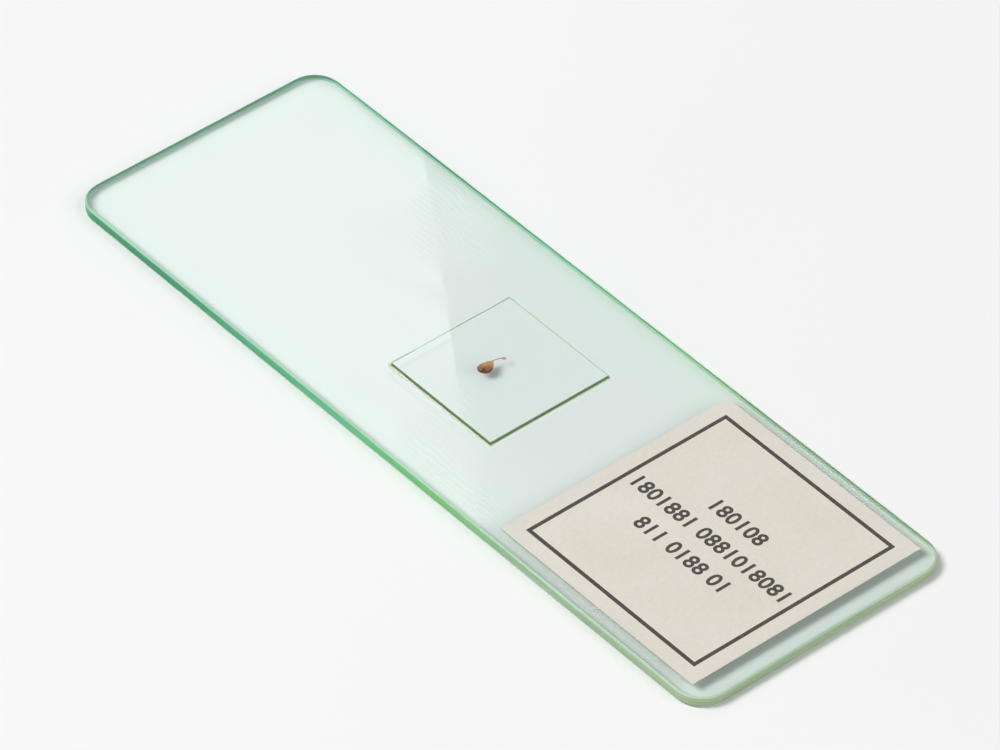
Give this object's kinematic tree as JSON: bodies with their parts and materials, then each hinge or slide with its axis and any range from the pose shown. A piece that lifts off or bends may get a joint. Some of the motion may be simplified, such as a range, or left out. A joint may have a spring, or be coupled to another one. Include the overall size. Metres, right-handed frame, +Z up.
{
  "type": "prepared microscope slide",
  "caption": "Glass slide with rounded corners, a square cover glass over a stained whole mount set in resin, and a framed white paper label at one end.",
  "frame": {"origin": "centre of the slide's underside, in the plane it rests on", "axes": "+X along the slide to its label end, +Y across it to the top of the label, +Z up out of the labelled face"},
  "size_m": [0.0762, 0.0254, 0.0013],
  "materials": {
    "slide_glass": "clear soda-lime float glass, green when seen through its edges, with a fine ground arris",
    "cover_glass": "clear polished thin glass",
    "mounting_resin": "clear set resin, faintly amber where it is thick",
    "stained_specimen": "stained and cleared tissue, reddish brown, darker at its round end",
    "label_paper": "matt warm white paper, printed with a thin frame and rows of plain numbers"
  },
  "bodies": {
    "root": {"glass_slide": "slide_glass", "cover_glass": "cover_glass", "mountant": "mounting_resin", "specimen": "stained_specimen", "label": "label_paper"}
  },
  "joints": []
}
